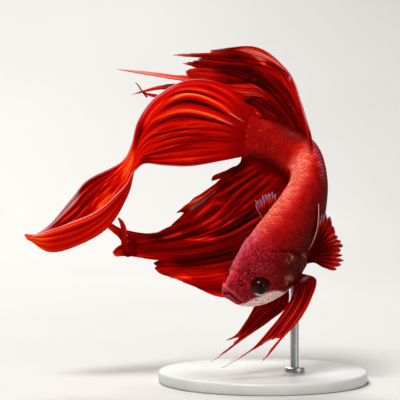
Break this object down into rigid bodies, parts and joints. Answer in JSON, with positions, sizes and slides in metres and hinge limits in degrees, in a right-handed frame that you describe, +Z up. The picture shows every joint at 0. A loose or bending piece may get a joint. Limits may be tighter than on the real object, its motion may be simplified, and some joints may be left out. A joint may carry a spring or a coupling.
{
  "type": "betta fish",
  "caption": "Male betta fish with long trailing fins, caught in a tight turn, on a round display base with a thin rod.",
  "frame": {"origin": "middle of the underside of the stand's base", "axes": "+Z up; -Y is the front, the side the fish's belly and snout are seen from; +X is the viewer's right, with the tail trailing off to -X"},
  "size_m": [0.0658, 0.04, 0.0656],
  "materials": {
    "scaled_skin": "satin, small overlapping scales",
    "head_skin": "satin",
    "jaw_skin": "satin",
    "fins": "satin membrane with fine rays",
    "eyes": "polished",
    "base": "satin",
    "rod": "brushed"
  },
  "bodies": {
    "root": {"anal_fin": "fins", "caudal_fin_lower_blade": "fins", "caudal_fin_lower_fan": "fins", "caudal_fin_upper_blade": "fins", "caudal_fin_upper_fan": "fins", "dorsal_fin": "fins", "eye_left": "eyes", "eye_right": "eyes", "gill_cover_left": "head_skin", "gill_cover_right": "head_skin", "head": "head_skin", "lower_jaw": "jaw_skin", "pectoral_fin_left": "fins", "pectoral_fin_right": "fins", "pelvic_fin_left": "fins", "pelvic_fin_right": "fins", "stand_base": "base", "stand_rod": "rod", "tail_stalk": "scaled_skin", "trunk_front": "scaled_skin", "trunk_middle": "scaled_skin", "trunk_rear": "scaled_skin"}
  },
  "joints": []
}
